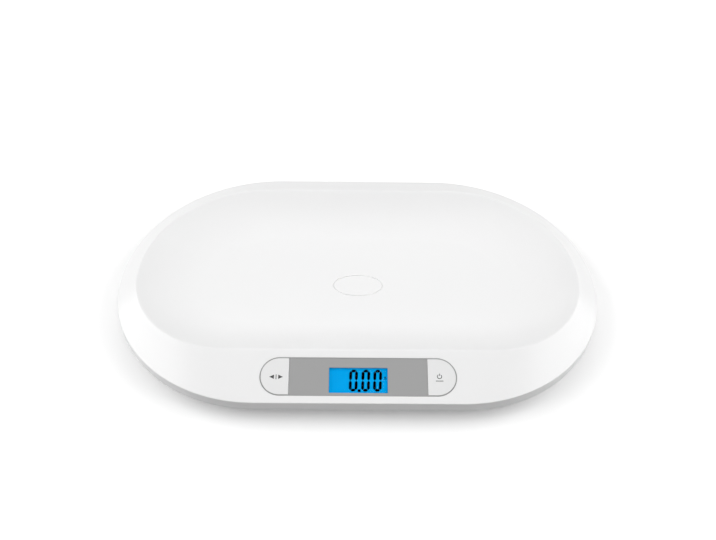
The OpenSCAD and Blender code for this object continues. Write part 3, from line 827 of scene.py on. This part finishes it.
    def recess_floor(self, strip: "Strip") -> BMesh:
        """Makes the recess's thin floor with its window and button openings."""
        bm = bmesh.new()
        outline(bm, (strip.length + 2 * self.lap, strip.height + 2 * self.lap),
                [strip.height / 2 + self.lap] * 4, z=-self.shell)
        strip.openings(bm, -self.shell)
        fill_between(bm)
        raise_faces(bm, bm.faces[:], self.shell - strip.recess)
        bmesh.ops.transform(bm, matrix=self.flank.matrix(), verts=bm.verts)
        return bm

    def posts(self) -> BMesh:
        """Makes the screw posts under the dish, open at their lower ends."""
        bm = bmesh.new()
        end_x = self.width / 2 - self.end_inset - self.end_post_share * self.side_w
        rise = self.crest_z - self.end_drop - self.floor_z
        rise *= (1 - self.end_post_share) ** self.dish_power
        end_top = self.floor_z - self.end_post_under + rise
        places = [(x, y, self.floor_z - self.post_under) for x in (-self.post_x, 0.0, self.post_x)
                  for y in (-self.post_y, self.post_y)]
        places += [(way * end_x, self.end_post_y, end_top) for way in (-1, 1)]
        for x, y, top in places:
            profile = (
                (0.0, self.pilot_top), (self.pilot_r, self.pilot_top), (self.pilot_r, self.post_z),
                (self.post_r - self.post_soft, self.post_z),
                (self.post_r, self.post_z + self.post_soft), (self.post_r, top), (0.0, top),
            )
            join(bm, turned(profile, (x, y), self.post_steps))
        return bm

    def build(self, strip: "Strip") -> None:
        """Builds the platform as one piece.

        Args:
            strip: The strip that the front flank is open for.
        """
        bm = self.skin()
        self.open_strip(bm, strip)
        bmesh.ops.recalc_face_normals(bm, faces=bm.faces)
        join(bm, self.recess_floor(strip))
        join(bm, self.posts())
        finish_piece(bm, "platform_shell", PLATFORM, Body.ROOT, ["tray_shell"])


# ------------------------ strip


@dataclass
class Strip:
    """The display strip: rim, panel, window, display and two buttons."""

    length: float = 208.0
    height: float = 42.6
    rim: float = 0.9
    recess: float = 1.6
    shell: float = 2.5
    panel_w: float = 146.0
    panel_t: float = 1.4
    window: Pair = (62.0, 28.0)
    drop: float = 3.9
    proud: float = 0.3
    slide: float = 0.25
    gap: float = 0.3
    flange_t: float = 1.0
    flange_w: float = 1.2
    border: float = 2.0
    lens_flange: float = 0.9
    lcd_t: float = 2.2
    lcd_edge: float = 0.15
    play: float = 0.1
    corner: float = 0.3
    opening_corner: float = 0.4
    window_corner: float = 0.5
    panel_edge: float = 0.18
    cap_edge: float = 0.45
    flange_edge: float = 0.2
    flank: Flank = field(default_factory=Flank)

    def put(self, bm: BMesh) -> BMesh:
        """Moves a mesh from the strip's own frame to its place on the flank."""
        bmesh.ops.transform(bm, matrix=self.flank.matrix(), verts=bm.verts)
        return bm

    def framed(self, border: float) -> Pair:
        """Returns the window's size with a border round it."""
        return (self.window[0] + 2 * border, self.window[1] + 2 * border)

    def openings(self, bm: BMesh, z: float) -> None:
        """Draws the outlines of the window's and the buttons' openings."""
        outline(bm, self.framed(self.border + self.gap), [self.opening_corner] * 4,
                (0.0, -self.drop), z)
        for side in Side:
            size, centre, radii = self.end(side, self.rim)
            outline(bm, size, radii, centre, z)

    def end(self, side: Side, inset: float) -> tuple[Pair, Pair, list[float]]:
        """Gives the D shape of one end of the strip.

        Args:
            side: Which end.
            inset: How far the shape is drawn in.

        Returns:
            Its size, its middle and its corner radii.
        """
        inner = self.panel_w / 2 + self.slide
        outer = self.length / 2 - inset
        height = self.height - 2 * inset
        radii = [self.corner, height / 2, height / 2, self.corner]
        if side is Side.LEFT:
            radii = [height / 2, self.corner, self.corner, height / 2]
        return (outer - inner, height), (side.value * (inner + outer) / 2, 0.0), radii

    def build_rim(self) -> None:
        """Builds the grey line round the strip."""
        bm = bmesh.new()
        for inset in (self.play / 2, self.rim):
            outline(bm, (self.length - 2 * inset, self.height - 2 * inset),
                    [self.height / 2 - inset] * 4, z=-self.recess)
        fill_between(bm)
        raise_faces(bm, bm.faces[:], self.recess)
        finish_piece(self.put(bm), "strip_line", RIM, Body.ROOT, ["strip_rim"])

    def build_panel(self) -> None:
        """Builds the grey panel with its window opening."""
        bm = bmesh.new()
        low = -self.recess
        outline(bm, (self.panel_w - self.play, self.height - 2 * self.rim - self.play),
                [self.opening_corner] * 4, z=low)
        outline(bm, self.window, [self.window_corner] * 4, (0.0, -self.drop), low)
        fill_between(bm)
        raise_faces(bm, bm.faces[:], self.panel_t)
        bmesh.ops.recalc_face_normals(bm, faces=bm.faces)
        soften(bm, at_height(low + self.panel_t), self.panel_edge, segments=2)
        finish_piece(self.put(bm), "grey_panel", PANEL, Body.ROOT, ["display_panel"])

    def build_display(self) -> None:
        """Builds the blue display with its dark segments."""
        top = -self.recess - self.lens_flange - self.gap
        glass = block(self.framed(self.border), top - self.lcd_t, top, [self.corner] * 4,
                      (0.0, -self.drop), self.lcd_edge)
        finish_piece(self.put(glass), "display_glass", LCD, Body.ROOT, ["lcd_cell"])
        digits = Readout().build(top)
        finish_piece(self.put(digits), "display_segments", INK, Body.ROOT)

    def build_button(self, side: Side) -> None:
        """Builds one button and the marks on it.

        Args:
            side: Which end of the strip.
        """
        body = Body.UNIT if side is Side.LEFT else Body.POWER
        inset, flange_top = self.rim + self.slide, -self.shell - self.gap
        size, centre, radii = self.end(side, inset)
        bm = block(size, flange_top, self.proud, radii, centre, self.cap_edge)
        size, centre, radii = self.end(side, inset - self.flange_w)
        join(bm, block(size, flange_top - self.flange_t, flange_top, radii, centre,
                       self.flange_edge))
        finish_piece(self.put(bm), f"{body.value}_cap", BUTTON, body, [body.value])
        marks = Legend().build(side, self.proud)
        finish_piece(self.put(marks), f"{body.value}_mark", PRINT, body)

    def build(self) -> None:
        """Builds every piece of the strip."""
        self.build_rim()
        self.build_panel()
        self.build_display()
        for side in Side:
            self.build_button(side)


@dataclass
class Readout:
    """The display's three seven-segment figures and the point between them."""

    figure: Pair = (9.2, 24.2)
    stroke: float = 3.1
    middles: tuple[float, ...] = (-5.2, 7.8, 20.3)
    level: float = -3.3
    lean: float = 0.035
    point: Pair = (0.9, -14.4)
    film: float = 0.06
    clearance: float = 0.2
    corner: float = 0.2
    unit_mark: Pair = (28.4, -0.4)
    unit_bar: Pair = (2.4, 0.9)

    def bar(self, bm: BMesh, start: Pair, end: Pair, z: float) -> None:
        """Adds one segment with pointed ends.

        Args:
            bm: The mesh that takes it.
            start: One end.
            end: The other end.
            z: Height of its underside.
        """
        a, b = Vector(start), Vector(end)
        run = (b - a).normalized()
        a, b = a + run * self.clearance, b - run * self.clearance
        side = Vector((-run.y, run.x)) * self.stroke / 2
        tip = run * self.stroke / 2
        corners = [a, a + tip - side, b - tip - side, b, b - tip + side, a + tip + side]
        verts = [bm.verts.new((p.x, p.y, z)) for p in corners]
        raise_faces(bm, [bm.faces.new(verts)], self.film)

    def build(self, z: float) -> BMesh:
        """Builds all the figures on the display's face.

        Args:
            z: Height of the display's face in the strip's frame.

        Returns:
            The segments' mesh.
        """
        bm = bmesh.new()
        half_w = (self.figure[0] - self.stroke) / 2
        half_h = (self.figure[1] - self.stroke) / 2
        for middle in self.middles:
            left, right = middle - half_w, middle + half_w
            low, mid, high = self.level - half_h, self.level, self.level + half_h
            for start, end in (
                ((left, high), (right, high)), ((left, low), (right, low)),
                ((left, mid), (left, high)), ((right, mid), (right, high)),
                ((left, low), (left, mid)), ((right, low), (right, mid)),
            ):
                self.bar(bm, start, end, z)
        for vert in bm.verts:
            vert.co.x += self.lean * (vert.co.y - self.level)
        x, y = self.unit_mark
        thick = self.unit_bar[1]
        for size, place in (((self.stroke, self.stroke), self.point),
                            (self.unit_bar, (x, y - thick)), (self.unit_bar, (x, y + thick))):
            join(bm, block(size, z, z + self.film, [self.corner] * 4, place))
        return bm


@dataclass
class Legend:
    """Plain signs printed on the buttons."""

    line: float = 0.75
    film: float = 0.04
    corner: float = 0.2
    left: Pair = (-86.5, -0.8)
    bar_h: float = 5.4
    arrow: Point = (2.2, 7.2, 2.4)
    right: Pair = (85.5, 0.6)
    ring_r: float = 1.9
    ring_start: float = 125.0
    ring_sweep: float = 290.0
    ring_steps: int = 28
    tick: Pair = (2.6, 2.0)
    rule: Pair = (8.0, -4.9)

    def build(self, side: Side, z: float) -> BMesh:
        """Builds the signs of one button.

        Args:
            side: Which button.
            z: Height of its face.

        Returns:
            The signs' mesh.
        """
        return self.arrows(z) if side is Side.LEFT else self.power(z)

    def plate(self, size: Pair, centre: Pair, z: float) -> BMesh:
        """Returns a thin printed bar."""
        return block(size, z, z + self.film, [self.corner] * 4, centre)

    def arrows(self, z: float) -> BMesh:
        """An arrowhead on each side of a bar: change over."""
        bm = self.plate((self.line, self.bar_h), self.left, z)
        near, far, half = self.arrow
        for way in (-1, 1):
            verts = [
                bm.verts.new((self.left[0] + way * x, self.left[1] + y, z))
                for x, y in ((near, -half), (far, 0.0), (near, half))
            ]
            raise_faces(bm, [bm.faces.new(verts)], self.film)
        return bm

    def power(self, z: float) -> BMesh:
        """An open ring with a bar: on and off, over a short line: set to nothing."""
        bm = bmesh.new()
        start = math.radians(self.ring_start)
        inner, outer = (bm.verts.new((r * math.cos(start), r * math.sin(start), z))
                        for r in (self.ring_r, self.ring_r + self.line))
        bmesh.ops.spin(bm, geom=[inner, outer, bm.edges.new((inner, outer))], cent=(0.0, 0.0, z),
                       axis=(0.0, 0.0, 1.0), angle=math.radians(self.ring_sweep),
                       steps=self.ring_steps)
        raise_faces(bm, bm.faces[:], self.film)
        x, y = self.right
        bmesh.ops.translate(bm, vec=(x, y, 0.0), verts=bm.verts)
        join(bm, self.plate((self.line, self.tick[0]), (x, y + self.tick[1]), z))
        join(bm, self.plate((self.rule[0], self.line), (x, y + self.rule[1]), z))
        return bm


# ------------------------ feet


@dataclass
class Feet:
    """The four feet, each on its load cell, with their soft pads."""

    x: float = 178.0
    y: float = 84.0
    radius: float = 15.0
    pad_r: float = 13.0
    pad_t: float = 1.5
    top: float = 5.0
    stem_r: float = 5.5
    cell_z: float = 9.7
    peg_r: float = 2.5
    peg_top: float = 13.3
    inset: float = 1.0
    lip: float = 0.5
    groove: float = 0.35
    soft: float = 0.4
    ribs: Point = (2.0, 6.4, 7.6)

    def build(self) -> None:
        """Builds the feet and pads under the four corners."""
        wide, lip = self.radius - self.inset, self.lip
        foot = (
            (0.0, self.pad_t), (self.pad_r, self.pad_t), (wide - lip, self.pad_t),
            (wide, self.pad_t + lip), (self.radius - lip / 2, self.top - lip),
            (self.radius - lip, self.top), (self.stem_r, self.top), (self.stem_r, self.cell_z),
            (self.peg_r, self.cell_z), (self.peg_r, self.peg_top), (0.0, self.peg_top),
        )
        first, second, third = self.ribs
        pad = (
            (0.0, self.groove), (first, self.groove), (first + self.soft, 0.0),
            (second - self.soft, 0.0), (second, self.groove), (third, self.groove),
            (third + self.soft, 0.0), (self.pad_r - self.soft, 0.0), (self.pad_r, self.soft),
            (self.pad_r, self.pad_t), (0.0, self.pad_t),
        )
        for corner in CORNERS:
            place = (self.x if "right" in corner else -self.x,
                     self.y if "rear" in corner else -self.y)
            for profile, name, finish, node in ((foot, "foot_shell", FOOT, "foot"),
                                                (pad, "foot_tread", RUBBER, "foot_pad")):
                finish_piece(turned(profile, place), f"{name}_{corner}", finish, Body.ROOT,
                             [f"{node}_{corner}"])


# ------------------------ studio


def seen_directly(tree: bpy.types.NodeTree) -> bpy.types.NodeSocket:
    """Adds a mask for what the camera sees, directly, mirrored or through glass.

    Args:
        tree: The node tree that takes the mask.

    Returns:
        The mask's socket, 1 or 0.
    """
    path = add_node(tree, "ShaderNodeLightPath").outputs
    seen = path["Is Camera Ray"]
    for name in ("Is Glossy Ray", "Is Transmission Ray"):
        seen = add_node(tree, "ShaderNodeMath", {0: seen, 1: path[name]},
                        operation="MAXIMUM").outputs[0]
    return seen


@dataclass
class Studio:
    """Camera, lamps and floor."""

    target: Point = (0.034, 17.23, 29.0)
    distance: float = 1116.43
    elevation: float = 46.986
    yaw: float = 0.951
    roll: float = -1.162
    lens: float = 47.765
    sky: float = 0.08
    floor_size: float = 12.0
    floor_bounce: float = 0.35
    floor_gloss: float = 0.9
    floor_lift: float = 0.16
    fade: Pair = (0.5, 1.4)
    lamps: dict[str, tuple[Point, float, float]] = field(default_factory=lambda: {
        "left_light": ((-1.7, 0.0, 1.1), 2.0, 32.0),
        "right_light": ((1.7, 0.0, 1.1), 2.0, 30.5),
        "front_light": ((0.0, -1.7, 1.9), 1.4, 9.0),
        "high_light": ((0.0, 0.6, 2.4), 2.0, 8.0),
        "back_light": ((0.0, 1.9, 1.5), 1.4, 3.0),
    })

    def camera(self) -> None:
        """Places the camera at the photograph's viewing angle."""
        e, y, r = (math.radians(v) for v in (self.elevation, self.yaw, self.roll))
        forward = Vector((math.cos(e) * math.sin(y), math.cos(e) * math.cos(y), -math.sin(e)))
        flat_right = Vector((math.cos(y), -math.sin(y), 0.0))
        flat_up = Vector((math.sin(e) * math.sin(y), math.sin(e) * math.cos(y), math.cos(e)))
        right = flat_right * math.cos(r) - flat_up * math.sin(r)
        up = flat_right * math.sin(r) + flat_up * math.cos(r)
        place = Vector(self.target) * MM - forward * self.distance * MM
        data = bpy.data.cameras.new("view")
        data.lens = self.lens
        data.sensor_width = 36.0
        data.sensor_fit = "HORIZONTAL"
        data.clip_start = 0.01
        camera = add_object("view", data)
        camera.matrix_world = Matrix((
            (right.x, up.x, -forward.x, place.x),
            (right.y, up.y, -forward.y, place.y),
            (right.z, up.z, -forward.z, place.z),
            (0.0, 0.0, 0.0, 1.0),
        ))
        bpy.context.scene.camera = camera

    def lamp(self, name: str, place: Point, size: float, power: float) -> None:
        """Adds a soft square lamp that points at the object.

        Args:
            name: The lamp's name.
            place: Its place in metres.
            size: Its side in metres.
            power: Its power in watts.
        """
        data = bpy.data.lights.new(name, "AREA")
        data.shape = "SQUARE"
        data.size = size
        data.energy = power
        lamp = add_object(name, data)
        lamp.location = place
        lamp.rotation_euler = (-Vector(place)).to_track_quat("-Z", "Y").to_euler()

    def world(self) -> None:
        """Lights the object from all sides, and shows white to the camera."""
        world = bpy.data.worlds.new("studio")
        bpy.context.scene.world = world
        world.use_nodes = True
        tree = world.node_tree
        level = add_node(tree, "ShaderNodeMapRange", {
            "Value": seen_directly(tree), "To Min": self.sky, "To Max": 1.0,
        })
        feed(tree.nodes["Background"], {"Color": WHITE, "Strength": level.outputs["Result"]})

    def floor(self) -> None:
        """Lays the white floor, which keeps the shadow and can be seen through from below."""
        bm = bmesh.new()
        bmesh.ops.create_grid(bm, x_segments=1, y_segments=1, size=self.floor_size / 2)
        mesh = bpy.data.meshes.new("floor")
        bm.to_mesh(mesh)
        bm.free()
        floor = add_object("floor", mesh)
        material = bpy.data.materials.new("floor")
        material.use_nodes = True
        tree = material.node_tree
        seen = seen_directly(tree)
        shade = add_node(tree, "ShaderNodeMix", {
            "Factor": seen, "A": (*[self.floor_bounce] * 3, 1.0), "B": WHITE,
        }, data_type="RGBA")
        shader = tree.nodes["Principled BSDF"]
        feed(shader, {
            "Base Color": shade.outputs["Result"],
            "Roughness": self.floor_gloss,
            "Specular IOR Level": 0.0,
        })
        place = add_node(tree, "ShaderNodeTexCoord").outputs["Object"]
        away = add_node(tree, "ShaderNodeVectorMath", {0: place}, operation="LENGTH")
        fade = add_node(tree, "ShaderNodeMapRange", {
            "Value": away.outputs["Value"],
            "From Min": self.fade[0],
            "From Max": self.fade[1],
            "To Min": self.floor_lift,
            "To Max": 1.0,
        }, interpolation_type="SMOOTHSTEP")
        level = add_node(tree, "ShaderNodeMath", {0: seen, 1: fade.outputs["Result"]},
                         operation="MULTIPLY")
        lift = add_node(tree, "ShaderNodeEmission", {"Strength": level.outputs[0]})
        above = add_node(tree, "ShaderNodeAddShader", {0: shader.outputs[0], 1: lift.outputs[0]})
        one_sided = add_node(tree, "ShaderNodeMixShader", {
            0: add_node(tree, "ShaderNodeNewGeometry").outputs["Backfacing"],
            1: above.outputs[0],
            2: add_node(tree, "ShaderNodeBsdfTransparent").outputs[0],
        })
        feed(tree.nodes["Material Output"], {"Surface": one_sided.outputs[0]})
        mesh.materials.append(material)

    def build(self) -> None:
        """Sets up the whole studio."""
        self.camera()
        self.world()
        self.floor()
        for name, (place, size, power) in self.lamps.items():
            self.lamp(name, place, size, power)
        bpy.context.scene.view_settings.view_transform = "Standard"


def main() -> None:
    """Builds the studio, dresses the frame and adds every new piece."""
    logging.basicConfig(level=logging.INFO, format="%(name)s: %(message)s")
    Studio().build()
    dress_carried_over()
    strip = Strip()
    Platform().build(strip)
    strip.build()
    Feet().build()


if __name__ == "__main__":
    main()
